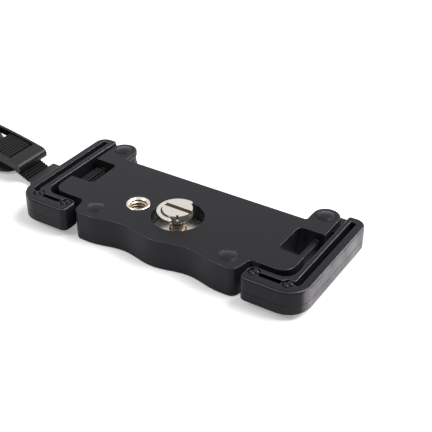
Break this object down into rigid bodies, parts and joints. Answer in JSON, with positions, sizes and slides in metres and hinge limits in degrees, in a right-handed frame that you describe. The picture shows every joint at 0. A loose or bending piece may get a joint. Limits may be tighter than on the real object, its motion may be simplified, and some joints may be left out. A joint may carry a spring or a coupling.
{
  "type": "camera hand grip strap",
  "caption": "Black base plate with a wavy finger grip, a captive slotted camera screw with a folding ring, L-shaped strap arms and an adjustable strap that leads to an arched hand pad.",
  "frame": {"origin": "centre of the camera screw's tip, on the camera face of the plate", "axes": "+Z along the screw's axis away from the camera, +X along the plate away from the strap, +Y towards the ears"},
  "size_m": [0.3025, 0.0569, 0.0164],
  "materials": {
    "satin_black_nylon": "fine satin moulding",
    "satin_black_acetal": "fine satin moulding",
    "glossy_black_plastic": "semi gloss",
    "nickel_plated_steel": "bright nickel plate",
    "black_rubber": "matte",
    "black_nylon": "plain moulded",
    "black_webbing": "ribbed weave",
    "black_leather": "fine grain"
  },
  "bodies": {
    "plate": {"base_plate": "satin_black_nylon", "camera_face_pad": "black_rubber", "strap_arm_left": "satin_black_acetal", "strap_arm_right": "satin_black_acetal", "arm_cover_left": "satin_black_acetal", "arm_cover_right": "satin_black_acetal", "ear_pin_left": "glossy_black_plastic", "ear_pin_right": "glossy_black_plastic", "cover_plug_left": "glossy_black_plastic", "cover_plug_right": "glossy_black_plastic", "arm_screw_outer_left": "glossy_black_plastic", "arm_screw_outer_right": "glossy_black_plastic", "arm_screw_inner_left": "glossy_black_plastic", "arm_screw_inner_right": "glossy_black_plastic", "tripod_thread_insert": "nickel_plated_steel", "tapped_disc": "nickel_plated_steel", "adjusting_webbing": "black_webbing", "anchor_loop": "black_webbing", "camera_loop_webbing": "black_webbing", "strap_keeper": "glossy_black_plastic", "ladder_slider": "glossy_black_plastic", "hand_pad": "black_leather"},
    "thrust_washer_body": {"thrust_washer": "black_nylon"},
    "camera_screw_body": {"camera_screw": "nickel_plated_steel"},
    "d_ring_body": {"d_ring": "nickel_plated_steel"}
  },
  "joints": [
    {"name": "screw_travel", "type": "slide", "parent": "plate", "child": "thrust_washer_body", "axis": [0, 0, -1], "range_m": [0, 0.0048]},
    {"name": "screw_turn", "type": "hinge", "parent": "thrust_washer_body", "child": "camera_screw_body", "pos_m": [0, 0, 0.0144], "axis": [0, 0, 1], "continuous": true},
    {"name": "ring_fold", "type": "hinge", "parent": "camera_screw_body", "child": "d_ring_body", "pos_m": [0, 0, 0.0148], "axis": [0, 1, 0], "range_deg": [0, 180]}
  ]
}
